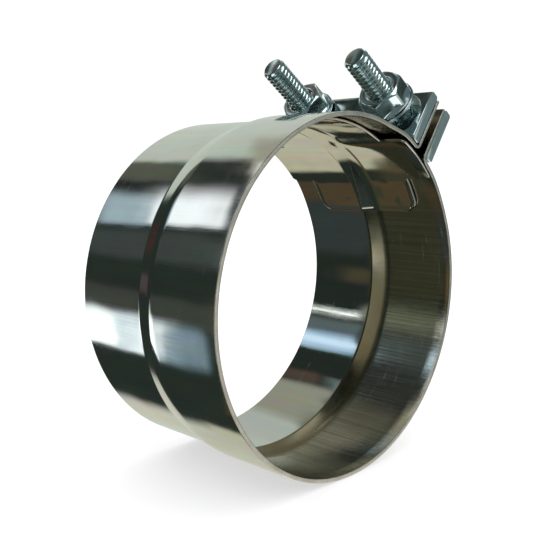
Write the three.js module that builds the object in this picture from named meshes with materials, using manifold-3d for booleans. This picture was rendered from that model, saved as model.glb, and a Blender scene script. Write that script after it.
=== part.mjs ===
// Pipe repair clamp: a wide stepped stainless band that wraps a pipe joint, with a lug of two bars, two through bolts and flange nuts,
// and a cross-shaped seal plate that bridges the band's split from inside.
// Millimetres. +Z up, +Y from the large end of the bore to the small end, origin on the bore axis at mid width.
import * as THREE from "three";
import { mergeVertices } from "three/addons/utils/BufferGeometryUtils.js";
import Module from "manifold-3d";

// ---- driving dimensions ----
const HALF_W = 36.5; // half of the band's width along the pipe
const R_LARGE = 66.35; // outer radius of the large (front) end
const STEP = 1.65; // drop in radius to the small (back) end
const STEP_Y0 = -4.0; // where the shoulder starts and ends
const STEP_Y1 = 3.2;
const SHEET = 1.2; // band thickness
const LUG_PHI = 38.3; // clock position of the split, degrees from +Z toward +X
const LUG_DIR = 35.0; // direction the lug stands in
const FOOT_R = 67.7; // radius of the lug's foot
const BAR_GAP = 3.55; // half of the distance between the two bars
const BAR_T = 4.7;
const BAR_HALF_LEN = 36.3;
const BAR_TOP = 23.3;
const BAR1_FOOT = 0.7;
const BAR2_FOOT = 0.0;
const BAR_CHAMFER = 0.9;
const FIT = 0.3; // running gap between neighbouring pieces
const FLANGE_TOP = 22.3; // how far the band's ends run up the bars
const BEND_R = 1.9; // bend radius of the band's mid surface
const BOLT_Y = 21.4; // bolts at plus and minus this, along the pipe
const BOLT_S = 14.6; // bolt height above the lug's foot
const BOLT_R = 4.95;
const BOLT_TIP = 39.9;
const BOLT_TIP_CHAMFER = 1.1;
const BOLT_HOLE_R = 5.6;
const HEAD_AF = 14.6;
const HEAD_H = 4.6;
const NUT_AF = 17.0;
const NUT_H = 8.3;
const NUT_BASE_R = 9.9;
const NUT_BASE_H = 1.0;
const NUT_CONE_H = 2.2;
const NUT_BORE_R = 5.25;
const WASHER_R = 10.55;
const WASHER_T = 1.1;
const WASHER_BORE_R = 5.5;
const FRONT_WASHER_D = 11.7; // underside of the front washer, from the middle of the split
const BACK_WASHER_D = 9.2;
const HINGE_GAP = 0.15; // half of the slit opposite the lug that lets the band flex
const PLATE_T = 1.0;
const PLATE_TIP = 63.5; // clock positions of the seal plate's ends and shoulders
const PLATE_FULL_1 = 48.7;
const PLATE_FULL_0 = 27.4;
const PLATE_TAIL = -8;
const PLATE_HALF_TONGUE = 25;
const PLATE_HALF_FULL = 36.3;
const PLATE_CORNER = 6;

const wasm = await Module();
wasm.setup();
const rad = THREE.MathUtils.degToRad;
const smooth = (t) => {
  const u = Math.min(1, Math.max(0, t));
  return u * u * (3 - 2 * u);
};
const dirR = (deg) => [Math.sin(rad(deg)), Math.cos(rad(deg))]; // x, z
const ER = dirR(LUG_DIR);
const ET = [-ER[1], ER[0]];
const FOOT = [FOOT_R * dirR(LUG_PHI)[0], FOOT_R * dirR(LUG_PHI)[1]];
const lugPoint = (s, d) => [FOOT[0] + ER[0] * s + ET[0] * d, FOOT[1] + ER[1] * s + ET[1] * d];
const stepAt = (y) => STEP * smooth((y - STEP_Y0) / (STEP_Y1 - STEP_Y0));

// Outer radius at the large end: the band lifts a little toward each side of its split.
const liftNut = (phi) => 1.25 * smooth((phi - 18) / 12);
const liftHead = (phi) => 0.55 * smooth((66 - phi) / 18);

function solid(geometry) {
  const g = mergeVertices(
    new THREE.BufferGeometry().setAttribute("position", (geometry.index ? geometry.toNonIndexed() : geometry).getAttribute("position")),
    1e-4,
  );
  return new wasm.Manifold(
    new wasm.Mesh({
      numProp: 3,
      vertProperties: new Float32Array(g.attributes.position.array),
      triVerts: new Uint32Array(g.index.array),
    }),
  );
}
function geometryOf(s) {
  const m = s.getMesh();
  const v = new Float32Array(m.numVert * 3);
  for (let i = 0; i < m.numVert; i++) v.set(m.vertProperties.subarray(i * m.numProp, i * m.numProp + 3), i * 3);
  const g = new THREE.BufferGeometry().setAttribute("position", new THREE.BufferAttribute(v, 3)).setIndex(new THREE.BufferAttribute(new Uint32Array(m.triVerts), 1));
  g.computeVertexNormals();
  return g;
}

// A closed sheet from a lattice: rows[i][j] = {o: [x,y,z], n: [x,y,z]}, o outer, n inner.
function sheetSolid(rows) {
  const p = [];
  const tri = (a, b, c) => p.push(...a, ...b, ...c);
  const quad = (a, b, c, d) => {
    tri(a, b, c);
    tri(a, c, d);
  };
  const N = rows.length;
  const M = rows[0].length;
  for (let i = 0; i + 1 < N; i++)
    for (let j = 0; j + 1 < M; j++) {
      const a = rows[i][j];
      const b = rows[i + 1][j];
      const c = rows[i + 1][j + 1];
      const d = rows[i][j + 1];
      quad(a.o, b.o, c.o, d.o);
      quad(a.n, d.n, c.n, b.n);
    }
  for (let i = 0; i + 1 < N; i++) {
    const a = rows[i][0];
    const b = rows[i + 1][0];
    quad(a.o, a.n, b.n, b.o);
    const c = rows[i][M - 1];
    const d = rows[i + 1][M - 1];
    quad(c.o, d.o, d.n, c.n);
  }
  for (let j = 0; j + 1 < M; j++) {
    const a = rows[0][j];
    const b = rows[0][j + 1];
    quad(a.o, b.o, b.n, a.n);
    const c = rows[N - 1][j];
    const d = rows[N - 1][j + 1];
    quad(c.o, c.n, d.n, d.o);
  }
  const g = new THREE.BufferGeometry().setAttribute("position", new THREE.BufferAttribute(new Float32Array(p), 3));
  let s = solid(g);
  if (s.volume() < 0) {
    for (let k = 0; k < p.length; k += 9)
      for (let q = 0; q < 3; q++) [p[k + 3 + q], p[k + 6 + q]] = [p[k + 6 + q], p[k + 3 + q]];
    s = solid(new THREE.BufferGeometry().setAttribute("position", new THREE.BufferAttribute(new Float32Array(p), 3)));
  }
  return s;
}

// Mid-surface path of one half of the band at a given y, from the slit opposite the lug round to the top of its lug flange.
// side +1 is the half that ends at the nut bar, -1 the half that ends at the head bar.
const SLIT = LUG_PHI + 180;
function bandPath(side, y) {
  const drop = stepAt(y);
  const lift = side > 0 ? liftNut : liftHead;
  const d0 = side * (BAR_GAP - FIT - SHEET / 2);
  const atLug = side > 0 ? 34 : 43;
  const rMid = R_LARGE - SHEET / 2 - drop + lift(atLug);
  // the bend's centre, outside the circle and on the bar's side of the flange
  const dc = d0 + side * BEND_R;
  let sc = 0;
  for (let k = 0; k < 40; k++) {
    const c = lugPoint(sc, dc);
    sc -= Math.hypot(c[0], c[1]) - (rMid + BEND_R);
  }
  const C = lugPoint(sc, dc);
  const phiC = THREE.MathUtils.radToDeg(Math.atan2(C[0], C[1]));
  const pts = [];
  const slitDeg = THREE.MathUtils.radToDeg(HINGE_GAP / R_LARGE);
  const start = side > 0 ? SLIT - 360 + slitDeg : SLIT - slitDeg;
  const n = 34;
  for (let i = 0; i <= n; i++) {
    const phi = start + ((phiC - start) * i) / n;
    const u = dirR(phi);
    const r = R_LARGE - SHEET / 2 - drop + lift(phi);
    pts.push({ p: [u[0] * r, u[1] * r], n: u });
  }
  // round the bend, from pointing at the bore to pointing across the lug
  const from = Math.atan2(-C[0], -C[1]);
  const target = [-side * ET[0], -side * ET[1]];
  let to = Math.atan2(target[0], target[1]);
  while (side > 0 ? to > from : to < from) to += side > 0 ? -2 * Math.PI : 2 * Math.PI;
  while (Math.abs(to - from) > Math.PI) to += side > 0 ? 2 * Math.PI : -2 * Math.PI;
  for (let i = 1; i <= 6; i++) {
    const a = from + ((to - from) * i) / 6;
    const u = [Math.sin(a), Math.cos(a)];
    pts.push({ p: [C[0] + u[0] * BEND_R, C[1] + u[1] * BEND_R], n: [-u[0], -u[1]] });
  }
  for (let i = 1; i <= 4; i++) {
    const s = sc + ((FLANGE_TOP - sc) * i) / 4;
    pts.push({ p: lugPoint(s, d0), n: [side * ET[0], side * ET[1]] });
  }
  return pts;
}

const Y_STATIONS = [-HALF_W, -20, STEP_Y0, -2.4, -1.2, 0.4, 1.6, STEP_Y1, 20, HALF_W];
function bandHalf(side) {
  const cols = Y_STATIONS.map((y) => bandPath(side, y));
  const rows = cols[0].map((_, i) =>
    Y_STATIONS.map((y, j) => {
      const q = cols[j][i];
      const h = SHEET / 2;
      return {
        o: [q.p[0] + q.n[0] * h, y, q.p[1] + q.n[1] * h],
        n: [q.p[0] - q.n[0] * h, y, q.p[1] - q.n[1] * h],
      };
    }),
  );
  return sheetSolid(rows);
}

// Lug frame: local x up the lug, local y along the pipe, local z across the split toward the nuts.
const LUG = new THREE.Matrix4().makeBasis(
  new THREE.Vector3(ER[0], 0, ER[1]),
  new THREE.Vector3(0, 1, 0),
  new THREE.Vector3(ET[0], 0, ET[1]),
);
LUG.setPosition(FOOT[0], 0, FOOT[1]);
// A turned body about the local z axis through (BOLT_S, y): pairs of radius and z
function turned(y, pairs, segments = 32) {
  const prof = pairs.map(([r, z]) => new THREE.Vector2(r, z));
  const g = new THREE.LatheGeometry(prof, segments);
  g.rotateX(Math.PI / 2);
  g.translate(BOLT_S, y, 0);
  g.applyMatrix4(LUG);
  const s = solid(g);
  return s.volume() < 0 ? solid(flip(g)) : s;
}
function flip(g) {
  const h = g.index ? g.toNonIndexed() : g.clone();
  const a = h.getAttribute("position").array;
  for (let k = 0; k < a.length; k += 9) for (let q = 0; q < 3; q++) [a[k + 3 + q], a[k + 6 + q]] = [a[k + 6 + q], a[k + 3 + q]];
  return h;
}
function hexBody(y, af, z0, z1, turnDeg) {
  const g = new THREE.CylinderGeometry(af / Math.sqrt(3), af / Math.sqrt(3), z1 - z0, 6, 1);
  g.rotateX(Math.PI / 2);
  g.rotateZ(rad(turnDeg));
  g.translate(BOLT_S, y, (z0 + z1) / 2);
  g.applyMatrix4(LUG);
  return solid(g);
}
const axisBody = (y, r, z0, z1, segments = 32) =>
  turned(y, [[0, z0], [r, z0], [r, z1], [0, z1]], segments);

function holed(s, r) {
  let out = s;
  for (const y of [-BOLT_Y, BOLT_Y]) out = out.subtract(axisBody(y, r, -20, 20, 32));
  return out;
}

function bar(side, foot) {
  const d0 = BAR_GAP;
  const d1 = BAR_GAP + BAR_T;
  const c = BAR_CHAMFER;
  const poly = [
    [foot + c, d0], [BAR_TOP - c, d0], [BAR_TOP, d0 + c], [BAR_TOP, d1 - c],
    [BAR_TOP - c, d1], [foot + c, d1], [foot, d1 - c], [foot, d0 + c],
  ].map(([s, d]) => lugPoint(s, side * d));
  const p = [];
  const A = poly.map(([x, z]) => [x, -BAR_HALF_LEN, z]);
  const B = poly.map(([x, z]) => [x, BAR_HALF_LEN, z]);
  const n = poly.length;
  for (let i = 0; i < n; i++) {
    const j = (i + 1) % n;
    p.push(...A[i], ...B[i], ...B[j], ...A[i], ...B[j], ...A[j]);
    if (i > 0 && i + 1 < n) {
      p.push(...A[0], ...A[i], ...A[i + 1]);
      p.push(...B[0], ...B[i + 1], ...B[i]);
    }
  }
  let g = new THREE.BufferGeometry().setAttribute("position", new THREE.BufferAttribute(new Float32Array(p), 3));
  let s = solid(g);
  if (s.volume() < 0) s = solid(flip(g));
  return holed(s, BOLT_HOLE_R);
}

function bolt(y) {
  const back = -(BAR_GAP + BAR_T + FIT);
  const shank = turned(y, [
    [0, back - 0.5], [BOLT_R, back - 0.5], [BOLT_R, BOLT_TIP - BOLT_TIP_CHAMFER], [BOLT_R - BOLT_TIP_CHAMFER, BOLT_TIP], [0, BOLT_TIP],
  ]);
  return shank.add(hexBody(y, HEAD_AF, back - HEAD_H, back, 0));
}
function washer(y, d) {
  return axisBody(y, WASHER_R, d, d + WASHER_T, 40).subtract(axisBody(y, WASHER_BORE_R, d - 2, d + 4, 32));
}
function nut(y, d, turnDeg) {
  const z = d + WASHER_T + FIT;
  const base = turned(y, [[0, z], [NUT_BASE_R, z], [NUT_BASE_R, z + NUT_BASE_H], [NUT_AF / 2 - 0.2, z + NUT_CONE_H], [0, z + NUT_CONE_H]], 40);
  const hexTrim = turned(y, [
    [0, z + 0.2], [NUT_AF / Math.sqrt(3) + 0.2, z + 0.2], [NUT_AF / Math.sqrt(3) + 0.2, z + NUT_H - 1.2], [NUT_AF / 2 - 0.4, z + NUT_H], [0, z + NUT_H],
  ], 40);
  const hex = hexBody(y, NUT_AF, z + 0.2, z + NUT_H, turnDeg).intersect(hexTrim);
  return base.add(hex).subtract(axisBody(y, NUT_BORE_R, z - 2, z + NUT_H + 2, 32));
}

function sealPlate() {
  const stops = [];
  const push = (phi, w) => stops.push([phi, w]);
  const perDeg = (Math.PI / 180) * 63.7;
  for (const k of [0, 0.35, 1, 2, 3.5, PLATE_CORNER]) {
    const rest = PLATE_CORNER - k;
    push(PLATE_TAIL + k / perDeg, PLATE_HALF_TONGUE - PLATE_CORNER + Math.sqrt(Math.max(0, PLATE_CORNER ** 2 - rest ** 2)));
  }
  for (let phi = PLATE_TAIL + 10; phi < PLATE_FULL_0 - 1; phi += 5) push(phi, PLATE_HALF_TONGUE);
  push(PLATE_FULL_0 - 0.15, PLATE_HALF_TONGUE);
  push(PLATE_FULL_0 + 0.15, PLATE_HALF_FULL);
  for (let phi = PLATE_FULL_0 + 5; phi < PLATE_FULL_1 - 1; phi += 5) push(phi, PLATE_HALF_FULL);
  push(PLATE_FULL_1 - 0.15, PLATE_HALF_FULL);
  push(PLATE_FULL_1 + 0.15, PLATE_HALF_TONGUE);
  push(PLATE_FULL_1 + 5, PLATE_HALF_TONGUE);
  for (const k of [PLATE_CORNER, 3.5, 2, 1, 0.35, 0]) {
    const rest = PLATE_CORNER - k;
    push(PLATE_TIP - k / perDeg, PLATE_HALF_TONGUE - PLATE_CORNER + Math.sqrt(Math.max(0, PLATE_CORNER ** 2 - rest ** 2)));
  }
  const rows = stops.map(([phi, w]) =>
    [-w, -12, STEP_Y0, -2.4, -1.2, 0.4, 1.6, STEP_Y1, 12, w].map((y) => {
      const u = dirR(phi);
      // the plate bows out slightly where it spans the split
      const bow = 0.45 * smooth((phi - 22) / 10) * smooth((60 - phi) / 12);
      const ro = R_LARGE - SHEET - FIT - stepAt(y) + bow;
      const ri = ro - PLATE_T;
      return { o: [u[0] * ro, y, u[1] * ro], n: [u[0] * ri, y, u[1] * ri] };
    }),
  );
  return sheetSolid(rows);
}

const COLORS = { steel: 0xc9ccc8, zinc: 0xb4c4c8, plate: 0xbfc0ba };
const root = new THREE.Group();
root.name = "pipe_repair_clamp";
function piece(name, s, color) {
  const m = new THREE.Mesh(geometryOf(s), new THREE.MeshStandardMaterial({ color, metalness: 1, roughness: 0.25 }));
  m.name = name;
  root.add(m);
}
piece("band_nut_side", holed(bandHalf(1), BOLT_HOLE_R), COLORS.steel);
piece("band_head_side", holed(bandHalf(-1), BOLT_HOLE_R), COLORS.steel);
piece("seal_plate", sealPlate(), COLORS.plate);
piece("nut_bar", bar(1, BAR1_FOOT), COLORS.zinc);
piece("head_bar", bar(-1, BAR2_FOOT), COLORS.zinc);
piece("bolt_front", bolt(-BOLT_Y), COLORS.zinc);
piece("bolt_back", bolt(BOLT_Y), COLORS.zinc);
piece("washer_front", washer(-BOLT_Y, FRONT_WASHER_D), COLORS.zinc);
piece("washer_back", washer(BOLT_Y, BACK_WASHER_D), COLORS.zinc);
piece("nut_front", nut(-BOLT_Y, FRONT_WASHER_D, -16.6), COLORS.zinc);
piece("nut_back", nut(BOLT_Y, BACK_WASHER_D, 12), COLORS.zinc);
export default root;
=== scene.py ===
import math

import bmesh
import bpy
import numpy as np
from mathutils import Matrix, Vector


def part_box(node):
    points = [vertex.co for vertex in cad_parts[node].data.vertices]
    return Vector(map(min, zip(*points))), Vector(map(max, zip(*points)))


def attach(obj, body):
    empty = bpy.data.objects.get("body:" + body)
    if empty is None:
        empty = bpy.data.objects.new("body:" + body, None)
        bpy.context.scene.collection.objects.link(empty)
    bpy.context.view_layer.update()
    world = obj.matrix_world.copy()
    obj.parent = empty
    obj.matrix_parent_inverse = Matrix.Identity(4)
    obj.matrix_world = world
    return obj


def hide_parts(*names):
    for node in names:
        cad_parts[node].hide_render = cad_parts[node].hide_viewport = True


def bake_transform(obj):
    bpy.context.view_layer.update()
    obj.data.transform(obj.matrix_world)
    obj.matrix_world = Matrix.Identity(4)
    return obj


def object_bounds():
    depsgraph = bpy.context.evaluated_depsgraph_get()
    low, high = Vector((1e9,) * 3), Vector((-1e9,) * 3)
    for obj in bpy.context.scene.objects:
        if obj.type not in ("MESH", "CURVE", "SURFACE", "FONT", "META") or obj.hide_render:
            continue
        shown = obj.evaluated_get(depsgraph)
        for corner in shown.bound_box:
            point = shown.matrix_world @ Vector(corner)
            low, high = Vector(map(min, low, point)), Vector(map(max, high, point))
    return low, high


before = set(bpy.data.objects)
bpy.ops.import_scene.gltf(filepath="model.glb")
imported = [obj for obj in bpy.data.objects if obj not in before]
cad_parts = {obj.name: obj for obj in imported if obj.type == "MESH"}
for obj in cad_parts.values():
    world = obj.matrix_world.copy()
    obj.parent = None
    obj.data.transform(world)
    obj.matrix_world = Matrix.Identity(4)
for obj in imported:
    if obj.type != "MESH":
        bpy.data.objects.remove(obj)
CAD_LO, CAD_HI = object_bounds()
MM = 0.001

# ---- dimensions in millimetres, the same as the solids' ----
HALF_W = 36.5
R_LARGE = 66.35
STEP = 1.65
STEP_Y0, STEP_Y1, STEP_BEND_0, STEP_BEND_1 = -4.3, 3.3, 2.5, 0.5
SHEET = 1.2
LUG_PHI, LUG_DIR = 38.3, 35.0
FOOT_R = 67.7
BAR_GAP, BAR_T, BAR_HALF_LEN, BAR_TOP = 3.55, 4.7, 36.3, 23.3
BAR1_FOOT, BAR2_FOOT, BAR_CHAMFER = 0.7, 0.0, 0.9
FIT = 0.3
FLANGE_TOP, BEND_R = 22.3, 1.9
BOLT_Y, BOLT_S, BOLT_R, BOLT_TIP = 21.4, 14.6, 4.95, 39.9
BOLT_HOLE_R = 5.6
PITCH = 2.0
HEAD_AF, HEAD_H = 14.6, 4.6
NUT_AF, NUT_H = 17.0, 8.3
NUT_BASE_R, NUT_BASE_H, NUT_CONE_H = 9.9, 1.0, 2.2
WASHER_R, WASHER_T, WASHER_BORE_R = 10.55, 1.1, 5.5
FRONT_WASHER_D, BACK_WASHER_D = 11.7, 9.2
PLATE_T = 1.0
PLATE_TAIL, PLATE_FULL_0, PLATE_FULL_1, PLATE_TIP = -8.0, 27.4, 48.7, 63.5
PLATE_HALF_TONGUE, PLATE_HALF_FULL, PLATE_CORNER = 25.0, 36.3, 6.0
SLIT = LUG_PHI + 180.0


def smooth(t):
    u = min(1.0, max(0.0, t))
    return u * u * (3 - 2 * u)


def dir_r(deg):
    a = math.radians(deg)
    return np.array([math.sin(a), 0.0, math.cos(a)])


ER = dir_r(LUG_DIR)
ET = np.array([-ER[2], 0.0, ER[0]])
FOOT = FOOT_R * dir_r(LUG_PHI)


def lug_point(s, d):
    return FOOT + ER * s + ET * d


def ramp(t, b):
    if t <= -b:
        return 0.0
    if t >= b:
        return t
    return (t + b) ** 2 / (4 * b)


def step_at(y):
    # a straight shoulder, an easy bend where it leaves the large end and a tight one where it meets the small end
    k = STEP / (STEP_Y1 - STEP_Y0)
    return k * (ramp(y - STEP_Y0, STEP_BEND_0) - ramp(y - STEP_Y1, STEP_BEND_1))


RIM_CURL = 0.05
RIM_ROLL = 0.37  # how much further the lining side turns in
RIM_CURL_W = 5.5


def rim_at(y):
    # the sheet eases in a little over the last millimetres before the large end's cut edge
    u = -(HALF_W - RIM_CURL_W) - y
    return RIM_CURL * (max(0.0, u) / RIM_CURL_W) ** 2


def roll_at(y):
    u = -(HALF_W - RIM_CURL_W) - y
    return RIM_ROLL * (0.4 * ramp(u, 0.5) / RIM_CURL_W + 0.6 * (max(0.0, u) / RIM_CURL_W) ** 2)


def lift_nut(phi):
    return 1.25 * smooth((phi - 18) / 12)


def lift_head(phi):
    return 0.55 * smooth((66 - phi) / 18)


# ---- mesh helpers ----
def make_object(name, verts_mm, faces, uv_mm=None, mats=None, materials=()):
    mesh = bpy.data.meshes.new(name)
    for m in materials:
        mesh.materials.append(m)
    mesh.from_pydata([tuple(v) for v in np.asarray(verts_mm, float) * MM], [], faces)
    if uv_mm is not None:
        layer = mesh.uv_layers.new(name="UVMap")
        idx = np.zeros(len(mesh.loops), np.int32)
        mesh.loops.foreach_get("vertex_index", idx)
        layer.data.foreach_set("uv", (np.asarray(uv_mm, float)[idx] * 0.01).astype(np.float32).ravel())
    mesh.polygons.foreach_set("use_smooth", [True] * len(mesh.polygons))
    if mats is not None:
        mesh.polygons.foreach_set("material_index", mats)
    mesh.update()
    o = bpy.data.objects.new(name, mesh)
    bpy.context.scene.collection.objects.link(o)
    return o


def loft(name, loops, uv=None, caps=(True, True), mat_of=None, cap_mat=0, cap_pairs=False, materials=()):
    """Quads between closed loops. loops is (N, M, 3). cap_pairs closes an end by joining point k to its mirror M-1-k."""
    loops = np.asarray(loops, float)
    n, m = loops.shape[:2]
    verts = loops.reshape(-1, 3)
    uvs = None if uv is None else np.asarray(uv, float).reshape(-1, 2)
    faces, mats = [], []
    for i in range(n - 1):
        for k in range(m):
            k2 = (k + 1) % m
            faces.append((i * m + k, i * m + k2, (i + 1) * m + k2, (i + 1) * m + k))
            mats.append(mat_of(i, k) if mat_of else 0)
    for end, on in ((0, caps[0]), (n - 1, caps[1])):
        if not on:
            continue
        ring = [end * m + k for k in range(m)]
        if cap_pairs:
            for k in range(m // 2 - 1):
                q = [ring[k], ring[k + 1], ring[m - 2 - k], ring[m - 1 - k]]
                faces.append(tuple(q if end else q[::-1]))
                mats.append(cap_mat)
        else:
            faces.append(tuple(ring if end else ring[::-1]))
            mats.append(cap_mat)
    return make_object(name, verts, faces, uvs, mats, materials)


def ring_loft(name, loops, uv=None, mat_of=None):
    """A torus of quads: the loops close on each other too."""
    loops = np.asarray(loops, float)
    n, m = loops.shape[:2]
    faces, mats = [], []
    for i in range(n):
        i2 = (i + 1) % n
        for k in range(m):
            k2 = (k + 1) % m
            faces.append((i * m + k, i * m + k2, i2 * m + k2, i2 * m + k))
            mats.append(mat_of(i, k) if mat_of else 0)
    uvs = None if uv is None else np.asarray(uv, float).reshape(-1, 2)
    return make_object(name, loops.reshape(-1, 3), faces, uvs, mats)


def face_out(o):
    bm = bmesh.new()
    bm.from_mesh(o.data)
    bmesh.ops.recalc_face_normals(bm, faces=bm.faces)
    if bm.calc_volume(signed=True) < 0:
        bmesh.ops.reverse_faces(bm, faces=bm.faces)
    bm.to_mesh(o.data)
    bm.free()
    return o


def bake_modifiers(o):
    bpy.context.view_layer.update()
    dg = bpy.context.evaluated_depsgraph_get()
    new = bpy.data.meshes.new_from_object(o.evaluated_get(dg), preserve_all_data_layers=True, depsgraph=dg)
    old = o.data
    o.modifiers.clear()
    o.data = new
    new.name = o.name
    bpy.data.meshes.remove(old)
    return o


def boolean(o, other, op):
    m = o.modifiers.new("b", "BOOLEAN")
    m.operation = op
    m.solver = "EXACT"
    m.object = other
    bake_modifiers(o)
    data = other.data
    bpy.data.objects.remove(other)
    bpy.data.meshes.remove(data)
    return o


def crisp(o, degrees=32.0):
    """Smooth shading with hard edges where the surface really turns."""
    bm = bmesh.new()
    bm.from_mesh(o.data)
    limit = math.radians(degrees)
    for f in bm.faces:
        f.smooth = True
    for e in bm.edges:
        e.smooth = not (len(e.link_faces) == 2 and e.calc_face_angle(0.0) > limit)
    bm.to_mesh(o.data)
    bm.free()
    return o


def bevelled(o, width_mm, segments=2, degrees=28.0):
    m = o.modifiers.new("v", "BEVEL")
    m.width = width_mm * MM
    m.segments = segments
    m.limit_method = "ANGLE"
    m.angle_limit = math.radians(degrees)
    m.use_clamp_overlap = True
    return bake_modifiers(o)


LUG = np.column_stack([ER, [0.0, 1.0, 0.0], ET])  # local x up the lug, y along the pipe, z across the split


def to_lug(points, y):
    """Local points about a bolt's axis, x up the lug, z the distance from the middle of the split, into the row frame."""
    p = np.asarray(points, float) + np.array([BOLT_S, y, 0.0])
    return p @ LUG.T + FOOT


def circle(r, z, n):
    a = np.linspace(0, 2 * math.pi, n, endpoint=False)
    return np.column_stack([r * np.cos(a), r * np.sin(a), np.full(n, z)])


def cylinder(name, y, r, z0, z1, n=64):
    o = loft(name, [to_lug(circle(r, z0, n), y), to_lug(circle(r, z1, n), y)])
    return face_out(o)


def cut_bolt_holes(o, r):
    for y in (-BOLT_Y, BOLT_Y):
        boolean(o, cylinder("cutter", y, r, -20, 20, 72), "DIFFERENCE")
    return o


# ---- materials ----
def node_tree(name):
    m = bpy.data.materials.new(name)
    m.use_nodes = True
    nt = m.node_tree
    nt.nodes.clear()
    out = nt.nodes.new("ShaderNodeOutputMaterial")
    bsdf = nt.nodes.new("ShaderNodeBsdfPrincipled")
    nt.links.new(bsdf.outputs[0], out.inputs[0])
    return m, nt, bsdf


def mapped(nt, scale, coord="UV"):
    tc = nt.nodes.new("ShaderNodeTexCoord")
    mp = nt.nodes.new("ShaderNodeMapping")
    mp.inputs["Scale"].default_value = scale
    nt.links.new(tc.outputs[coord], mp.inputs["Vector"])
    return mp.outputs["Vector"]


def noise(nt, vec, scale, detail=2.0, rough=0.5):
    n = nt.nodes.new("ShaderNodeTexNoise")
    n.inputs["Scale"].default_value = scale
    n.inputs["Detail"].default_value = detail
    n.inputs["Roughness"].default_value = rough
    nt.links.new(vec, n.inputs["Vector"])
    return n.outputs["Fac"]


def remap(nt, value, a, b, c, d):
    m = nt.nodes.new("ShaderNodeMapRange")
    m.inputs["From Min"].default_value = a
    m.inputs["From Max"].default_value = b
    m.inputs["To Min"].default_value = c
    m.inputs["To Max"].default_value = d
    nt.links.new(value, m.inputs["Value"])
    return m.outputs["Result"]


def maths(nt, op, a, b):
    m = nt.nodes.new("ShaderNodeMath")
    m.operation = op
    for i, v in enumerate((a, b)):
        if isinstance(v, (int, float)):
            m.inputs[i].default_value = v
        else:
            nt.links.new(v, m.inputs[i])
    return m.outputs[0]


def colours(nt, fac, c0, c1):
    r = nt.nodes.new("ShaderNodeValToRGB")
    r.color_ramp.elements[0].color = (*c0, 1)
    r.color_ramp.elements[1].color = (*c1, 1)
    nt.links.new(fac, r.inputs["Fac"])
    return r.outputs["Color"]


def bump(nt, bsdf, height, distance, strength):
    b = nt.nodes.new("ShaderNodeBump")
    b.inputs["Distance"].default_value = distance
    b.inputs["Strength"].default_value = strength
    nt.links.new(height, b.inputs["Height"])
    nt.links.new(b.outputs["Normal"], bsdf.inputs["Normal"])
    return b


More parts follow.
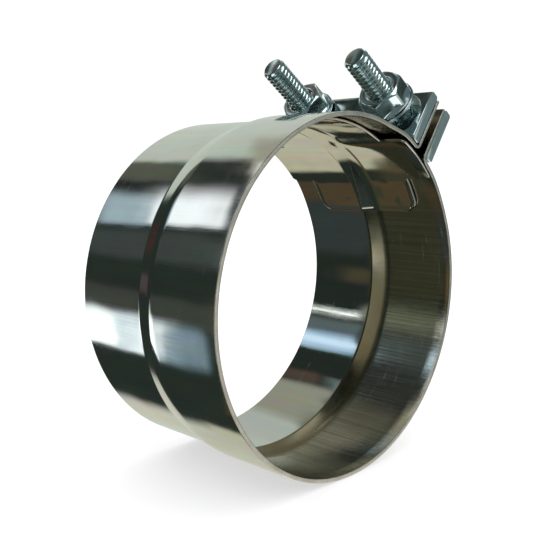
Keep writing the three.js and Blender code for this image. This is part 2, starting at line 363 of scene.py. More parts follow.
def sheet_metal(name, c0, c1, r0, r1, lines, scratch, depth, wave, streak, polished_end_and_painted_shoulder=False):
    """Rolled stainless: fine lines across the strip's width, a few long scratches round it, faint clouding, and the slow waviness of
    a thin sheet that was bent round."""
    m, nt, bsdf = node_tree(name)
    bsdf.inputs["Metallic"].default_value = 1.0
    fine = noise(nt, mapped(nt, (420.0, 7.0, 1.0)), 1.0, 3.0, 0.6)  # u runs round the strip, v across it
    wide = noise(nt, mapped(nt, (170.0, 1.3, 1.0)), 1.0, 3.0, 0.65)
    along = noise(nt, mapped(nt, (3.0, 420.0, 1.0)), 1.0, 3.0, 0.65)
    cloud = noise(nt, mapped(nt, (7.0, 7.0, 1.0)), 1.0, 4.0, 0.6)
    slow = noise(nt, mapped(nt, (3.2, 3.8, 1.0)), 1.0, 1.0, 0.4)
    marks = remap(nt, along, 0.66, 0.74, 0.0, 1.0)
    if polished_end_and_painted_shoulder:  # the small end's lining kept its polish, the large end is rubbed
        sep = nt.nodes.new("ShaderNodeSeparateXYZ")
        nt.links.new(mapped(nt, (1.0, 1.0, 1.0)), sep.inputs[0])
        worn = remap(nt, sep.outputs["Y"], 0.436, 0.36, 0.0, 1.0)
    grain = maths(nt, "ADD", maths(nt, "MULTIPLY", fine, lines), maths(nt, "MULTIPLY", wide, 1.2 * lines))
    height = maths(nt, "SUBTRACT", grain, maths(nt, "MULTIPLY", marks, scratch))
    if polished_end_and_painted_shoulder:
        height = maths(nt, "MULTIPLY", height, remap(nt, worn, 0.0, 1.0, 0.2, 1.0))
    under = nt.nodes.new("ShaderNodeBump")
    under.inputs["Distance"].default_value = wave
    nt.links.new(slow, under.inputs["Height"])
    top = bump(nt, bsdf, height, depth, 1.0)
    nt.links.new(under.outputs["Normal"], top.inputs["Normal"])
    mix = maths(nt, "ADD", maths(nt, "MULTIPLY", cloud, 1.0 - streak), maths(nt, "MULTIPLY", wide, streak))
    tint = colours(nt, remap(nt, mix, 0.34, 0.66, 0.0, 1.0), c0, c1)
    rough = maths(nt, "ADD", remap(nt, mix, 0.3, 0.72, r0, r1), maths(nt, "MULTIPLY", marks, 0.12))
    if polished_end_and_painted_shoulder:
        rough = maths(nt, "MULTIPLY", rough, remap(nt, worn, 0.0, 1.0, 0.35, 1.0))
        clean = nt.nodes.new("ShaderNodeMix")
        clean.data_type = "RGBA"
        nt.links.new(worn, clean.inputs[0])
        clean.inputs[6].default_value = (0.58, 0.59, 0.57, 1)
        nt.links.new(tint, clean.inputs[7])
        # painted reflection: the lining's sloped shoulder between the two diameters gets a mottled brown in its base
        # colour, standing in for what the shoulder reflects; its small extra roughness is a real finish
        shoulder = maths(nt, "MULTIPLY", remap(nt, sep.outputs["Y"], 0.349, 0.356, 0.0, 1.0), remap(nt, sep.outputs["Y"], 0.436, 0.441, 1.0, 0.0))
        shoulder_painted_reflection = nt.nodes.new("ShaderNodeMix")
        shoulder_painted_reflection.data_type = "RGBA"
        nt.links.new(maths(nt, "MULTIPLY", shoulder, remap(nt, cloud, 0.3, 0.62, 0.7, 1.0)), shoulder_painted_reflection.inputs[0])
        nt.links.new(clean.outputs[2], shoulder_painted_reflection.inputs[6])
        shoulder_painted_reflection.inputs[7].default_value = (0.40, 0.33, 0.215, 1)
        tint = shoulder_painted_reflection.outputs[2]
        rough = maths(nt, "ADD", rough, maths(nt, "MULTIPLY", shoulder, 0.08))
    nt.links.new(tint, bsdf.inputs["Base Color"])
    nt.links.new(rough, bsdf.inputs["Roughness"])
    return m


def cut_edge(name, c0, c1):
    """A sheared edge: duller, with fine shear marks through the thickness."""
    m, nt, bsdf = node_tree(name)
    bsdf.inputs["Metallic"].default_value = 1.0
    n1 = noise(nt, mapped(nt, (900.0, 900.0, 900.0), "Object"), 1.0, 3.0, 0.6)
    n2 = noise(nt, mapped(nt, (160.0, 160.0, 160.0), "Object"), 1.0, 2.0, 0.5)
    bump(nt, bsdf, n1, 0.00003, 0.6)
    nt.links.new(colours(nt, remap(nt, n2, 0.3, 0.7, 0.0, 1.0), c0, c1), bsdf.inputs["Base Color"])
    nt.links.new(remap(nt, n1, 0.3, 0.7, 0.24, 0.42), bsdf.inputs["Roughness"])
    return m


def zinc(name, c0, c1, r0, r1, depth):
    """Bright zinc plate: faint blue cast, slightly pebbled, duller in patches."""
    m, nt, bsdf = node_tree(name)
    bsdf.inputs["Metallic"].default_value = 1.0
    cloud = noise(nt, mapped(nt, (160.0, 160.0, 160.0), "Object"), 1.0, 3.0, 0.55)
    fine = noise(nt, mapped(nt, (1500.0, 1500.0, 1500.0), "Object"), 1.0, 2.0, 0.5)
    wipe = noise(nt, mapped(nt, (40.0, 700.0, 1.0)), 1.0, 2.0, 0.5)
    nt.links.new(colours(nt, remap(nt, cloud, 0.32, 0.7, 0.0, 1.0), c0, c1), bsdf.inputs["Base Color"])
    nt.links.new(remap(nt, maths(nt, "ADD", maths(nt, "MULTIPLY", cloud, 0.7), maths(nt, "MULTIPLY", wipe, 0.3)), 0.3, 0.7, r0, r1), bsdf.inputs["Roughness"])
    bump(nt, bsdf, maths(nt, "ADD", fine, maths(nt, "MULTIPLY", wipe, 0.6)), depth, 0.7)
    return m


OUTSIDE = sheet_metal("band_outside", (0.66, 0.66, 0.62), (0.74, 0.74, 0.71), 0.045, 0.115, 1.0, 0.8, 0.000004, 0.00030, 0.45)
INSIDE = sheet_metal("band_inside", (0.40, 0.375, 0.32), (0.68, 0.64, 0.55), 0.07, 0.14, 1.6, 1.0, 0.000014, 0.00017, 0.8, True)
EDGE = cut_edge("cut_edge", (0.60, 0.57, 0.51), (0.78, 0.75, 0.69))
PLATE = sheet_metal("plate_steel", (0.64, 0.61, 0.54), (0.72, 0.69, 0.62), 0.03, 0.07, 1.0, 0.5, 0.000002, 0.0003, 0.3)
BARS = zinc("bar_zinc", (0.50, 0.58, 0.59), (0.66, 0.74, 0.75), 0.05, 0.15, 0.000006)
BOLTS = zinc("bolt_zinc", (0.50, 0.62, 0.63), (0.76, 0.86, 0.86), 0.05, 0.13, 0.000012)
NUTS = zinc("nut_zinc", (0.56, 0.65, 0.67), (0.76, 0.84, 0.86), 0.06, 0.15, 0.00001)


def dress(o, *mats):
    o.data.materials.clear()
    for m in mats:
        o.data.materials.append(m)


# ---- the band: one strip from one turned-up end to the other ----
H = SHEET / 2


def band_side(side, y, turns):
    """Points and normals of the strip's middle surface from the point opposite the lug to the top of one turned-up end."""
    drop = step_at(y) + rim_at(y)
    lift = lift_nut if side > 0 else lift_head
    d0 = side * (BAR_GAP - FIT - H)
    r_mid = R_LARGE - H - drop + lift(34 if side > 0 else 43)
    dc = d0 + side * BEND_R
    sc = 0.0
    for _ in range(40):
        c = lug_point(sc, dc)
        sc -= math.hypot(c[0], c[2]) - (r_mid + BEND_R)
    c = lug_point(sc, dc)
    phi_c = math.degrees(math.atan2(c[0], c[2]))
    start = SLIT - 360 if side > 0 else SLIT
    out = []
    for t in turns:
        phi = start + (phi_c - start) * t
        u = dir_r(phi)
        r = R_LARGE - H - drop + lift(phi)
        out.append((u * r, u))
    a0 = math.atan2(-c[0], -c[2])
    tx, tz = -side * ET[0], -side * ET[2]
    a1 = math.atan2(tx, tz)
    if side > 0:
        while a1 > a0:
            a1 -= 2 * math.pi
        while a0 - a1 > math.pi:
            a1 += 2 * math.pi
    else:
        while a1 < a0:
            a1 += 2 * math.pi
        while a1 - a0 > math.pi:
            a1 -= 2 * math.pi
    for i in range(1, 15):
        a = a0 + (a1 - a0) * i / 14
        u = np.array([math.sin(a), 0.0, math.cos(a)])
        out.append((c + u * BEND_R, -u))
    n = side * ET
    for i in range(1, 19):
        s = sc + (FLANGE_TOP - 0.35 - sc) * i / 18
        out.append((lug_point(s, d0), n))
    return out, n


def corner_stations(half_w, radius, ys):
    """Half of the strip's section, front edge to back edge: (y, share of the half thickness)."""
    pts = []
    for a in (0, 22.5, 45, 67.5, 90):
        t = math.radians(a)
        pts.append((-half_w + radius * (1 - math.cos(t)), radius * (1 - math.sin(t))))
    pts.append((-half_w + radius + 0.10, 0.0))
    pts += [(y, 0.0) for y in ys if abs(y) < half_w - radius - 0.25]
    pts.append((half_w - radius - 0.10, 0.0))
    for a in (90, 67.5, 45, 22.5, 0):
        t = math.radians(a)
        pts.append((half_w - radius * (1 - math.cos(t)), radius * (1 - math.sin(t))))
    return pts


def width_stations():
    ys = list(np.arange(-36.0, -31.9, 0.6)) + list(np.arange(-31.6, -30.3, 0.15)) + list(np.arange(-29.5, -7.9, 1.2)) + list(np.arange(-7.2, -1.5, 0.3)) + list(np.arange(-1.1, 1.6, 0.6))
    ys += list(np.arange(1.7, 4.7, 0.2)) + list(np.arange(5.2, 36.2, 1.25))
    return [float(round(y, 4)) for y in ys]


def build_band():
    turns = set(np.linspace(0, 1, 171).tolist())
    for k in (0.10, 0.22, 0.36, 0.5, 0.62, 0.78, 0.9, 1.05, 1.2):  # millimetres either side of the flexing line
        turns.add(k / 66.0 / math.pi)
    turns = sorted(turns)
    st = corner_stations(HALF_W, 0.22, width_stations())
    sides = {}
    for side in (1, -1):
        cols, top_n = [], None
        for y, inset in st:
            pts, top_n = band_side(side, y, turns)
            cols.append(pts)
        rows = []
        round_end = len(turns)
        for i in range(len(cols[0])):
            outer = [cols[j][i][0] + np.array([0, st[j][0], 0]) + cols[j][i][1] * (H - st[j][1]) for j in range(len(st))]
            inner = [cols[j][i][0] + np.array([0, st[j][0], 0]) - cols[j][i][1] * (H + (roll_at(st[j][0]) if i < round_end else 0.0) - st[j][1]) for j in range(len(st))]
            rows.append(outer + inner[::-1])
        # the rounded top edge of the turned-up end
        d0 = side * (BAR_GAP - FIT - H)
        for a in (20, 40, 60, 80, 90):
            t = math.radians(a)
            e = 0.3 * (1 - math.cos(t))
            s = FLANGE_TOP - 0.3 + 0.3 * math.sin(t)
            w = 1 - e / HALF_W
            base = lug_point(s, d0)
            outer = [base + np.array([0, y * w, 0]) + top_n * (H - inset) * (1 - e / H) for y, inset in st]
            inner = [base + np.array([0, y * w, 0]) - top_n * (H - inset) * (1 - e / H) for y, inset in st]
            rows.append(outer + inner[::-1])
        sides[side] = rows
    rows = sides[1][::-1] + sides[-1][1:]
    loops = np.array(rows)
    n, m = loops.shape[:2]
    mid = (loops[:, m // 4] + loops[:, m - 1 - m // 4]) / 2
    arc = np.concatenate([[0], np.cumsum(np.linalg.norm(np.diff(mid, axis=0), axis=1))])
    uv = np.zeros((n, m, 2))
    uv[:, :, 0] = arc[:, None]
    uv[:, :, 1] = loops[:, :, 1] + 40
    k = len(st)

    def mat_of(i, j):
        if j < 4 or j >= 2 * k - 5 or k - 6 < j < k + 4:
            return 2
        return 0 if j < k else 1

    o = loft("band_strip", loops, uv, (True, True), mat_of, 2, True, (OUTSIDE, INSIDE, EDGE))
    face_out(o)
    cut_bolt_holes(o, BOLT_HOLE_R)
    return crisp(o, 50)


# ---- the cross-shaped plate inside the split ----
def plate_half_width(k_front, k_back, half, corner):
    w = half
    for k in (k_front, k_back):
        if k < corner:
            w = min(w, half - corner + math.sqrt(max(0.0, corner**2 - (corner - k) ** 2)))
    return w


WELDS = [(56.5, 8.5, 3.2, 0.05, 1.0), (54.6, -11.6, 6.5, 0.11, 0.0), (57.4, 18.0, 5.5, 0.10, 0.0), (57.8, -18.4, 5.0, 0.08, 0.0)]  # clock angle, distance along the pipe, size, depth, rim


def dent(phi, y):
    """Depth the welding tips left in the plate's bare side."""
    d = 0.0
    for a, b, size, depth, rim in WELDS:
        q = math.hypot((phi - a) * math.radians(1) * 63.7, y - b)
        if q < size:
            d += depth * (0.5 + 0.5 * math.cos(math.pi * q / size)) + rim * 0.06 * smooth((1.5 - q) / 0.6)
    return d


def coined(phi, y, w):
    """Height of the low bead pressed round the short tab's border."""
    if phi < PLATE_FULL_1 + 0.4:
        return 0.0
    m = min(w - abs(y), (PLATE_TIP - phi) * math.radians(1) * 63.7)
    return 0.17 * math.exp(-(((m - 1.25) / 0.5) ** 2)) * smooth((phi - PLATE_FULL_1 - 0.4) / 2.0)


def build_plate():
    per = math.radians(1) * 63.7
    stops = []

    def span(p0, p1, half, c0, c1, spacing):
        length = (p1 - p0) * per
        ks = set(np.linspace(0, length, max(2, int(length / spacing))).tolist())
        for c, at in ((c0, 0), (c1, 1)):
            if c > 0:
                for a in np.linspace(0, 90, 9):
                    k = c * (1 - math.cos(math.radians(a)))
                    ks.add(k if at == 0 else length - k)
        for k in sorted(ks):
            stops.append((p0 + k / per, plate_half_width(k if c0 else 99, (length - k) if c1 else 99, half, max(c0, c1))))

    span(PLATE_TAIL, PLATE_FULL_0, PLATE_HALF_TONGUE, PLATE_CORNER, 0, 0.9)
    span(PLATE_FULL_0 + 0.06, PLATE_FULL_1 - 0.06, PLATE_HALF_FULL, 1.6, 1.6, 0.9)
    span(PLATE_FULL_1, PLATE_TIP, PLATE_HALF_TONGUE, 0, PLATE_CORNER, 0.45)
    base = [y for y in width_stations() if abs(y) <= 12.01]
    loops, uv = [], []
    r = 0.42
    for phi, w in stops:
        u = dir_r(phi)
        ys = [y for y in np.linspace(-w + 0.8, -12.6, 32)] + base + [y for y in np.linspace(12.6, w - 0.8, 32)]
        st = corner_stations(w, r, ys)
        bow = 0.45 * smooth((phi - 22) / 10) * smooth((60 - phi) / 12)
        half = PLATE_T / 2

        def at(y, off):
            ro = R_LARGE - SHEET - FIT - step_at(y) - rim_at(y) - roll_at(y) + bow - half
            return u * (ro + off) + np.array([0, y, 0])

        outer = [at(y, half - i) for y, i in st]
        inner = [at(y, -(half - i) + dent(phi, y) - coined(phi, y, w)) for y, i in st]
        loops.append(outer + inner[::-1])
        uv.append([(phi * per + 300, y + 40) for y, _ in st] + [(phi * per + 300, y + 40) for y, _ in st[::-1]])
    k = len(loops[0]) // 2

    def mat_of(i, j):
        if j < 2 or j >= 2 * k - 3 or k - 4 < j < k + 2:
            return 1
        return 0

    o = loft("seal_plate_sheet", loops, uv, (True, True), mat_of, 1, True, (PLATE, EDGE))
    face_out(o)
    return crisp(o, 40)


# ---- the two bars ----
def build_bar(name, side, foot):
    d0, d1, c = BAR_GAP, BAR_GAP + BAR_T, BAR_CHAMFER

    def ring(e):
        poly = [
            (foot + c, d0 + e), (BAR_TOP - c, d0 + e), (BAR_TOP - e, d0 + c), (BAR_TOP - e, d1 - c),
            (BAR_TOP - c, d1 - e), (foot + c, d1 - e), (foot + e, d1 - c), (foot + e, d0 + c),
        ]
        return [lug_point(s, side * d) for s, d in poly]

    loops = []
    for y, e in ((-BAR_HALF_LEN, 0.3), (-BAR_HALF_LEN + 0.3, 0.0), (BAR_HALF_LEN - 0.3, 0.0), (BAR_HALF_LEN, 0.3)):
        loops.append([p + np.array([0, y, 0]) for p in ring(e)])
    o = face_out(loft(name, loops))
    cut_bolt_holes(o, BOLT_HOLE_R)
    bevelled(o, 0.16, 3, 20)
    uv_box(o)
    return crisp(o, 40)


def uv_box(o):
    """Millimetre coordinates in the lug's own axes, so the finish runs along the piece."""
    mesh = o.data
    if not mesh.uv_layers:
        mesh.uv_layers.new(name="UVMap")
    co = np.zeros(len(mesh.vertices) * 3, np.float32)
    mesh.vertices.foreach_get("co", co)
    local = (co.reshape(-1, 3) / MM - FOOT) @ LUG
    idx = np.zeros(len(mesh.loops), np.int32)
    mesh.loops.foreach_get("vertex_index", idx)
    uv = np.column_stack([local[:, 1], local[:, 0] + local[:, 2]]) * 0.01
    mesh.uv_layers[0].data.foreach_set("uv", uv[idx].astype(np.float32).ravel())


# ---- bolts with rolled threads ----
THREAD = [
    (0.00, 4.93), (0.05, 4.95), (0.10, 4.93), (0.15, 4.84), (0.24, 4.56), (0.33, 4.24), (0.40, 4.02), (0.46, 3.93),
    (0.53, 3.90), (0.60, 3.93), (0.66, 4.02), (0.73, 4.24), (0.82, 4.56), (0.91, 4.84),
]


def build_thread(name, y, z0, z1, n=56):
    rows = int(round((z1 - z0) / PITCH)) * len(THREAD)
    per = len(THREAD)
    verts = []
    for k in range(rows + 1):
        ph, r = THREAD[k % per]
        for j in range(n):
            a = 2 * math.pi * j / n
            verts.append((r * math.cos(a), r * math.sin(a), z0 + PITCH * (k // per + ph + j / n)))
    faces = []
    for k in range(rows):
        for j in range(n - 1):
            faces.append((k * n + j, k * n + j + 1, (k + 1) * n + j + 1, (k + 1) * n + j))
        if k + per < rows:
            faces.append((k * n + n - 1, (k + per) * n, (k + per + 1) * n, (k + 1) * n + n - 1))
    low = [j for j in range(n)] + [per * n - k * n for k in range(0, per)]
    high = [rows * n + j for j in range(n)] + [(rows - k) * n + n - 1 for k in range(1, per + 1)]
    for loop, z, flip in ((low, z0 + PITCH * 0.5, True), (high, z0 + PITCH * (rows // per + 0.5), False)):
        c = len(verts)
        verts.append((0.0, 0.0, z))
        for i in range(len(loop)):
            t = (loop[i], loop[(i + 1) % len(loop)], c)
            faces.append(t[::-1] if flip else t)
    return face_out(make_object(name, to_lug(verts, y), faces))


def lathe(name, y, profile, n=72):
    """A solid of revolution about a bolt's axis, from a profile that starts and ends on the axis."""
    verts, faces = [], []
    inner = profile[1:-1]
    m = len(inner)
    for r, z in inner:
        verts += list(circle(r, z, n))
    verts += [(0, 0, profile[0][1]), (0, 0, profile[-1][1])]
    for i in range(m - 1):
        for k in range(n):
            k2 = (k + 1) % n
            faces.append((i * n + k, i * n + k2, (i + 1) * n + k2, (i + 1) * n + k))
    for k in range(n):
        k2 = (k + 1) % n
        faces.append((m * n, k2, k))
        faces.append((m * n + 1, (m - 1) * n + k, (m - 1) * n + k2))
    return face_out(make_object(name, to_lug(verts, y), faces))


def hex_r(a, af, corner_deg):
    t = (math.degrees(a) - corner_deg - 30 + 30) % 60 - 30
    return af / 2 / math.cos(math.radians(t))


def soft_min(a, b, k):
    h = max(k - abs(a - b), 0.0) / k
    return min(a, b) - h * h * k / 4


def soft_max(a, b, k):
    return -soft_min(-a, -b, k)


def hex_loops(af, corner_deg, rows, n=144):
    """rows are (z, function of the hex radius giving the surface's radius there)."""
    loops = []
    for z, fn in rows:
        ring = []
        for k in range(n):
            a = 2 * math.pi * k / n
            r = fn(min(hex_r(a, af, corner_deg), af / math.sqrt(3) - 0.14))
            ring.append((r * math.cos(a), r * math.sin(a), z))
        loops.append(ring)
    return loops


def build_bolt(name, y):
    back = -(BAR_GAP + BAR_T + FIT)
    top = back - HEAD_H
    thread = build_thread(name, y, 2.0, 2.0 + PITCH * 20)
    trim = lathe(
        "trim", y,
        [(0, 2.6), (5.4, 2.6), (5.4, BOLT_TIP - 1.75), (4.95, BOLT_TIP - 1.25), (4.30, BOLT_TIP - 0.42), (4.05, BOLT_TIP - 0.14),
         (3.78, BOLT_TIP - 0.02), (3.5, BOLT_TIP), (0, BOLT_TIP)],
    )
    boolean(thread, trim, "INTERSECT")
    # head and plain shank in one: a chamfered hexagon on a thin washer face
    corner = 30.0
    rmax = HEAD_AF / math.sqrt(3)
    rows = [(top, lambda h: 4.2), (top, lambda h: HEAD_AF / 2 - 0.55)]
    for i in range(9):
        z = 0.08 + 1.15 * (i / 8) ** 1.2
        rows.append((top + z, lambda h, z=z: soft_min(h, HEAD_AF / 2 - 0.45 + z * (rmax - HEAD_AF / 2 + 0.6) / 1.15, 0.12)))
    rows += [(top + 2.2, lambda h: h), (back - 0.75, lambda h: h), (back - 0.42, lambda h: h), (back - 0.36, lambda h: h - 0.03), (back - 0.34, lambda h: h - 0.12)]
    rows += [(back - 0.33, lambda h: HEAD_AF / 2 - 0.35), (back - 0.06, lambda h: HEAD_AF / 2 - 0.38), (back, lambda h: HEAD_AF / 2 - 0.45), (back, lambda h: 5.4)]
    rows += [(back + 0.12, lambda h: 5.05), (back + 0.3, lambda h: 4.9), (2.2, lambda h: 4.9), (3.1, lambda h: 4.45), (3.6, lambda h: 3.7)]
    loops = [to_lug(r, y) for r in hex_loops(HEAD_AF, corner, rows, 120)]
    head = face_out(loft("head", loops))
    boolean(thread, head, "UNION")
    uv_box(thread)
    return crisp(thread, 38)


def build_nut(name, y, d, corner):
    z0 = d + WASHER_T + FIT
    rows = [(0.40, lambda h: 5.02), (0.0, lambda h: 5.55), (0.0, lambda h: 9.45), (0.03, lambda h: 9.62), (0.10, lambda h: 9.76), (0.22, lambda h: 9.86), (0.42, lambda h: 9.9), (0.66, lambda h: 9.9)]
    for z in (0.80, 0.90, 0.97, 1.05, 1.15, 1.28, 1.42, 1.56, 1.70, 1.84, 1.98, 2.12, 2.26, 2.42, 2.6):
        cone = min(9.9, 9.9 - (z - 0.93) * (9.9 - 8.3) / (2.2 - 0.93)) if z > 0.93 else 9.9 - 0.06 * ((z - 0.66) / 0.27) ** 2
        rows.append((z, lambda h, c=cone: soft_max(c, h, 0.28)))
    for z in (3.2, 4.0, 4.8, 5.6, 6.2):
        rows.append((z, lambda h: h))
    top_r, slope = 8.1, (9.815 + 0.2 - 8.1) / 1.2
    for i in range(16):
        z = 6.5 + (NUT_H - 0.05 - 6.5) * i / 15
        rows.append((z, lambda h, z=z: soft_min(h, top_r + (NUT_H - z) * slope, 0.16)))
    rows += [(NUT_H - 0.01, lambda h: top_r - 0.08), (NUT_H, lambda h: top_r - 0.25), (NUT_H, lambda h: 6.4), (NUT_H - 0.02, lambda h: 6.1), (NUT_H - 0.12, lambda h: 5.85), (NUT_H - 0.75, lambda h: 5.02)]
    rows += [(z, lambda h: 5.02) for z in (6.2, 4.2, 2.2, 1.0)]
    loops = [to_lug(np.array(r) + np.array([0, 0, z0]), y) for r in hex_loops(NUT_AF, corner, rows)]
    o = face_out(ring_loft(name, loops))
    uv_box(o)
    return crisp(o, 36)


def build_washer(name, y, d):
    rows = [(5.5, 0.18), (5.62, 0.04), (5.8, 0.0), (10.2, 0.0), (10.4, 0.04), (10.51, 0.15), (10.55, 0.32), (10.55, 0.78), (10.51, 0.95), (10.4, 1.06), (10.2, 1.1), (5.8, 1.1), (5.62, 1.06), (5.5, 0.92)]
    loops = [to_lug(circle(r, d + z, 120), y) for r, z in rows]
    o = face_out(ring_loft(name, loops))
    uv_box(o)
    return crisp(o, 40)


# ---- pieces ----
band = build_band()
plate = build_plate()
nut_bar = build_bar("nut_bar_plated", 1, BAR1_FOOT)
head_bar = build_bar("head_bar_plated", -1, BAR2_FOOT)
bolt_front = build_bolt("bolt_front_threaded", -BOLT_Y)
bolt_back = build_bolt("bolt_back_threaded", BOLT_Y)
washer_front = build_washer("washer_front_plated", -BOLT_Y, FRONT_WASHER_D)
washer_back = build_washer("washer_back_plated", BOLT_Y, BACK_WASHER_D)
nut_front = build_nut("nut_front_flanged", -BOLT_Y, FRONT_WASHER_D, -90 - 16.6)
nut_back = build_nut("nut_back_flanged", BOLT_Y, BACK_WASHER_D, -90 + 12)
for o, m in ((nut_bar, BARS), (head_bar, BARS), (bolt_front, BOLTS), (bolt_back, BOLTS), (washer_front, NUTS), (washer_back, NUTS), (nut_front, NUTS), (nut_back, NUTS)):
    dress(o, m)

for o, node, body, slot in (
    (plate, "seal_plate", "seal", "seal_plate"),
    (nut_bar, "nut_bar", "nut_side", "bars"),
    (head_bar, "head_bar", "head_side", "bars"),
    (bolt_front, "bolt_front", "head_side", "bolts"),
    (bolt_back, "bolt_back", "head_side", "bolts"),
    (washer_front, "washer_front", "front_washer", "nuts"),
    (washer_back, "washer_back", "back_washer", "nuts"),
    (nut_front, "nut_front", "front_nut", "nuts"),
    (nut_back, "nut_back", "back_nut", "nuts"),
):
    lo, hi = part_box(node)
    co = np.array([v.co for v in o.data.vertices], float)
    worst = max(np.abs(co.min(0) - np.array(lo)).max(), np.abs(co.max(0) - np.array(hi)).max())
    if worst > 0.0007:
        print("PIECE_OFF", o.name, round(worst * 1000, 3), "mm from its CAD node's box")
    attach(o, body)
    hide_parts(node)

# The line opposite the lug, where the strip would flex, and the turn across it are worked out here, but nothing uses
# them: the strip stays one fixed piece.
flex = dir_r(SLIT) * (R_LARGE - H)
across = lug_point(12.0, 0.0) - flex
across = across / np.linalg.norm(across)
turn = np.array([across[2], 0.0, -across[0]])  # from the head side to the nut side
if np.dot(turn, ET) < 0:
    turn = -turn
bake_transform(band)
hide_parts("band_nut_side", "band_head_side")

# ---- camera ----
cam_data = bpy.data.cameras.new("camera")
cam = bpy.data.objects.new("camera", cam_data)
bpy.context.scene.collection.objects.link(cam)
cam_data.sensor_width = 36.0
cam_data.lens = 778.114 / 550.0 * 36.0
cam_data.clip_start, cam_data.clip_end = 0.01, 20.0
right = Vector((0.69640, -0.71765, 0.0))
up = Vector((0.09673, 0.09386, 0.99087))
fwd = Vector((0.71110, 0.69005, -0.13478))
rot = Matrix((right, up, -fwd)).transposed().to_4x4()
cam.matrix_world = Matrix.Translation(Vector((-217.29, -208.24, 46.32)) * MM) @ rot
bpy.context.scene.camera = cam

# ---- floor, light and surroundings ----
floor_mesh = bpy.data.meshes.new("floor")
z = CAD_LO.z - 0.0001
s = 6.0
floor_mesh.from_pydata([(-s, -s, z), (s, -s, z), (s, s, z), (-s, s, z)], [], [(0, 1, 2, 3)])
floor = bpy.data.objects.new("floor", floor_mesh)
bpy.context.scene.collection.objects.link(floor)
fm, fnt, fb = node_tree("floor_pale")
fb.inputs["Roughness"].default_value = 0.9
fb.inputs["Specular IOR Level"].default_value = 0.1
fb.inputs["Emission Color"].default_value = (1, 1, 1, 1)
fb.inputs["Emission Strength"].default_value = 0.55
fn = noise(fnt, mapped(fnt, (1.0, 1.0, 1.0), "Object"), 3.0, 2.0, 0.5)
fnt.links.new(colours(fnt, fn, (0.44, 0.44, 0.44), (0.47, 0.47, 0.47)), fb.inputs["Base Color"])
floor_mesh.materials.append(fm)
floor.visible_glossy = False

world = bpy.data.worlds.new("studio")
bpy.context.scene.world = world
world.use_nodes = True


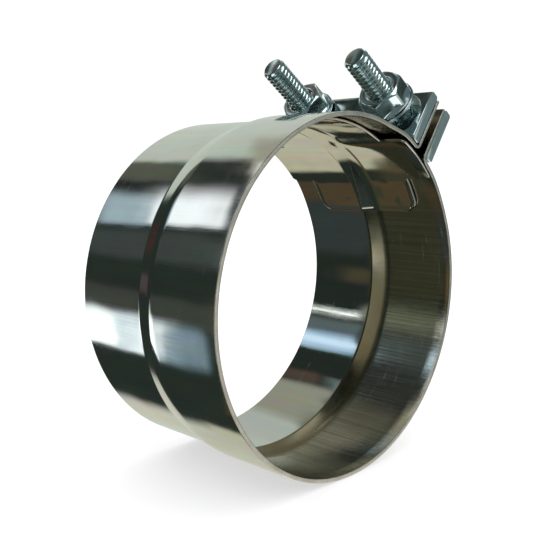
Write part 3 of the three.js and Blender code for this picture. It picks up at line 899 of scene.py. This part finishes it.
def build_world(zones, base):
    """The room that the metal reflects, in angles about the bore's axis: turn is the clock angle round it, 0 up and 90 toward +X,
    and open is the angle away from the axis, 0 out of the small end and 180 out of the large end. The view and the pale floor get
    plain white."""
    nt = world.node_tree
    nt.nodes.clear()
    out = nt.nodes.new("ShaderNodeOutputWorld")
    tc = nt.nodes.new("ShaderNodeTexCoord")
    sep = nt.nodes.new("ShaderNodeSeparateXYZ")
    nt.links.new(tc.outputs["Generated"], sep.inputs[0])
    turned = maths(nt, "MULTIPLY", maths(nt, "ARCTAN2", sep.outputs["X"], sep.outputs["Z"]), 180 / math.pi)
    opened = maths(nt, "MULTIPLY", maths(nt, "ARCCOSINE", sep.outputs["Y"], 0.0), 180 / math.pi)
    # nothing in a real room has a ruled edge
    w1 = noise(nt, mapped(nt, (1.0, 1.0, 1.0), "Generated"), 5.0, 2.0, 0.5)
    w2 = noise(nt, mapped(nt, (1.0, 1.0, 1.0), "Generated"), 9.0, 3.0, 0.6)
    turned = maths(nt, "ADD", turned, maths(nt, "MULTIPLY", maths(nt, "SUBTRACT", w2, 0.5), 6.0))
    opened = maths(nt, "ADD", opened, maths(nt, "MULTIPLY", maths(nt, "SUBTRACT", w1, 0.5), 2.0))
    rgb = nt.nodes.new("ShaderNodeRGB")
    rgb.outputs[0].default_value = (*base, 1)
    colour = rgb.outputs[0]

    def edge(value, at, soft, rising):
        m = nt.nodes.new("ShaderNodeMapRange")
        m.interpolation_type = "SMOOTHSTEP"
        m.inputs["From Min"].default_value = at - soft / 2
        m.inputs["From Max"].default_value = at + soft / 2
        m.inputs["To Min"].default_value = 0.0 if rising else 1.0
        m.inputs["To Max"].default_value = 1.0 if rising else 0.0
        nt.links.new(value, m.inputs["Value"])
        return m.outputs["Result"]

    for t0, t1, s0, s1, o0, o1, so, col in zones:
        rel = maths(nt, "SUBTRACT", turned, (t0 + t1) / 2)
        rel = maths(nt, "SUBTRACT", maths(nt, "MODULO", maths(nt, "ADD", rel, 900.0), 360.0), 180.0)
        half = (t1 - t0) / 2
        mask = maths(nt, "MULTIPLY", edge(rel, -half, s0, True), edge(rel, half, s1, False))
        if o0 > 0:
            mask = maths(nt, "MULTIPLY", mask, edge(opened, o0, so, True))
        if o1 < 180:
            mask = maths(nt, "MULTIPLY", mask, edge(opened, o1, so, False))
        mix = nt.nodes.new("ShaderNodeMix")
        mix.data_type = "RGBA"
        nt.links.new(mask, mix.inputs[0])
        nt.links.new(colour, mix.inputs[6])
        mix.inputs[7].default_value = (*col, 1)
        colour = mix.outputs[2]
    clutter = nt.nodes.new("ShaderNodeTexNoise")
    clutter.inputs["Scale"].default_value = 16.0
    clutter.inputs["Detail"].default_value = 3.0
    clutter.inputs["Roughness"].default_value = 0.6
    nt.links.new(mapped(nt, (1.0, 1.0, 1.0), "Generated"), clutter.inputs["Vector"])
    busy = nt.nodes.new("ShaderNodeMix")
    busy.data_type = "RGBA"
    busy.blend_type = "OVERLAY"
    busy.inputs[0].default_value = 0.28
    nt.links.new(colour, busy.inputs[6])
    nt.links.new(clutter.outputs["Color"], busy.inputs[7])
    room = nt.nodes.new("ShaderNodeBackground")
    nt.links.new(busy.outputs[2], room.inputs["Color"])
    pale = nt.nodes.new("ShaderNodeBackground")
    pale.inputs["Color"].default_value = (1.0, 1.0, 1.0, 1)
    pale.inputs["Strength"].default_value = 1.05
    lp = nt.nodes.new("ShaderNodeLightPath")
    ms = nt.nodes.new("ShaderNodeMixShader")
    nt.links.new(maths(nt, "MAXIMUM", lp.outputs["Is Camera Ray"], lp.outputs["Is Diffuse Ray"]), ms.inputs[0])
    nt.links.new(room.outputs[0], ms.inputs[1])
    nt.links.new(pale.outputs[0], ms.inputs[2])
    nt.links.new(ms.outputs[0], out.inputs[0])


# turn from, to, softness at each, open from, to, softness, colour
ZONES = [
    (8, 168, 9, 16, 0, 90, 4, (0.61, 0.67, 0.60)),  # a pale wall and ceiling on the right
    (140, 168, 16, 16, 0, 90, 4, (0.66, 0.66, 0.55)),
    (-10, 8, 4, 6, 30, 39.3, 1.5, (0.11, 0.12, 0.095)),
    (-22, -11, 3, 3, 30, 37.6, 1, (0.018, 0.022, 0.02)),
    (-6, 30, 5, 14, 44, 52, 1.5, (0.42, 0.42, 0.34)),
    (112, 177, 14, 5, 44, 80, 3, (0.60, 0.60, 0.48)),
    (-6, 28, 10, 18, 51.8, 66, 1.5, (0.14, 0.15, 0.12)),
    (-34, -2, 14, 8, 53.4, 62, 1.5, (0.045, 0.052, 0.05)),
    (20, 100, 18, 14, 50.3, 66, 1.5, (0.23, 0.235, 0.19)),
    (158, 200, 7, 6, 53.6, 57, 1.0, (0.10, 0.082, 0.052)),
    (127, 141, 5, 5, 52.2, 57, 1.2, (0.085, 0.07, 0.045)),
    (-180, -82, 5, 8, 53.4, 60, 1, (0.055, 0.06, 0.037)),
    (-72, 2, 8, 8, 45.5, 47.3, 0.7, (1.1, 1.2, 1.25)),
    (-125, -84, 8, 8, 45.4, 48.4, 1.2, (0.20, 0.155, 0.075)),
    (-16, -8, 5, 2, 46, 50.8, 1.0, (0.11, 0.08, 0.065)),
    (-15, -5, 3, 3, 51.3, 52.8, 0.8, (0.20, 0.25, 0.24)),
    (-47, -22, 4, 12, 33, 37.4, 3, (0.42, 0.56, 0.64)),  # the upper window on the left
    (-46, -21, 3.5, 20, 37.0, 43.0, 1.5, (1.3, 1.38, 1.44)),
    (-51, -37, 8, 4, 46, 53.2, 1, (0.60, 0.88, 1.15)),
    (-47, -41, 5, 4, 46, 53.2, 1, (1.0, 1.3, 1.55)),
    (-69.6, -68.4, 0.6, 0.6, 46, 53.2, 1, (0.9, 1.0, 0.95)),
    (-67.4, -65.4, 0.6, 0.8, 46, 53.2, 1, (1.8, 1.9, 1.8)),
    (-64.2, -63.0, 0.6, 0.8, 46, 53.2, 1, (0.6, 0.7, 0.66)),
    (-61, -52, 5, 5, 46, 53.2, 1, (0.16, 0.20, 0.20)),
    (-74, -66, 8, 5, 53.4, 56.0, 1.4, (0.62, 0.64, 0.50)),
    (-75, -62, 9, 9, 53.4, 60, 1.5, (0.20, 0.23, 0.17)),
    (-60, -36, 8, 14, 53.4, 60, 1.5, (0.085, 0.11, 0.115)),
    (-141, -112, 3, 24, 26, 39.2, 1, (1.7, 1.85, 1.9)),  # the lower window on the left
    (-142, -108, 3, 20, 36.1, 37.7, 1.6, (0.74, 0.90, 1.0)),
    (-140, -113, 9, 16, 39.0, 42.5, 3, (0.26, 0.38, 0.46)),
    (-72, -52, 8, 8, 30, 45, 3, (0.06, 0.075, 0.07)),
    (-54, -18, 10, 10, 3, 17, 3, (0.054, 0.034, 0.031)),
    (-108, -84, 9, 9, 3, 17, 3, (0.085, 0.066, 0.068)),
    (-112, -95, 6, 6, 30, 45, 3, (0.06, 0.07, 0.06)),
    (-169, -148, 3, 8, 46, 55.4, 1.0, (0.092, 0.072, 0.042)),
    (-148, -112, 10, 10, 46, 53.2, 1.5, (0.05, 0.064, 0.062)),
    (-101, -91, 7, 5, 50.9, 53.2, 1.2, (0.095, 0.078, 0.048)),
    (-110, 60, 20, 20, 76, 150, 14, (0.13, 0.17, 0.17)),  # soft greys behind the view, with a few lamps
    (-44, -16, 6, 6, 92, 118, 5, (2.6, 2.8, 2.8)),
    (-118, -96, 6, 6, 76, 104, 6, (1.3, 1.45, 1.45)),
    (34, 58, 8, 8, 70, 96, 6, (1.5, 1.6, 1.6)),
    (118, 235, 16, 16, 92, 135, 8, (0.34, 0.38, 0.37)),
    (146, 172, 6, 6, 98, 126, 5, (1.8, 1.95, 1.95)),
    (58, 112, 10, 6, 108, 134, 6, (0.20, 0.26, 0.26)),
    (108, 146, 6, 6, 108, 180, 6, (0.66, 0.64, 0.57)),
    (58, 175, 10, 10, 133, 180, 3, (0.66, 0.64, 0.57)),
]
build_world(ZONES, (0.026, 0.036, 0.030))

sun = bpy.data.lights.new("soft_sun", "SUN")
sun.energy = 1.5
sun.angle = math.radians(120)
sun_o = bpy.data.objects.new("soft_sun", sun)
bpy.context.scene.collection.objects.link(sun_o)
sun_o.rotation_euler = (math.radians(8), math.radians(6), 0)
sun_o.visible_glossy = False

bpy.context.scene.view_settings.view_transform = "Standard"
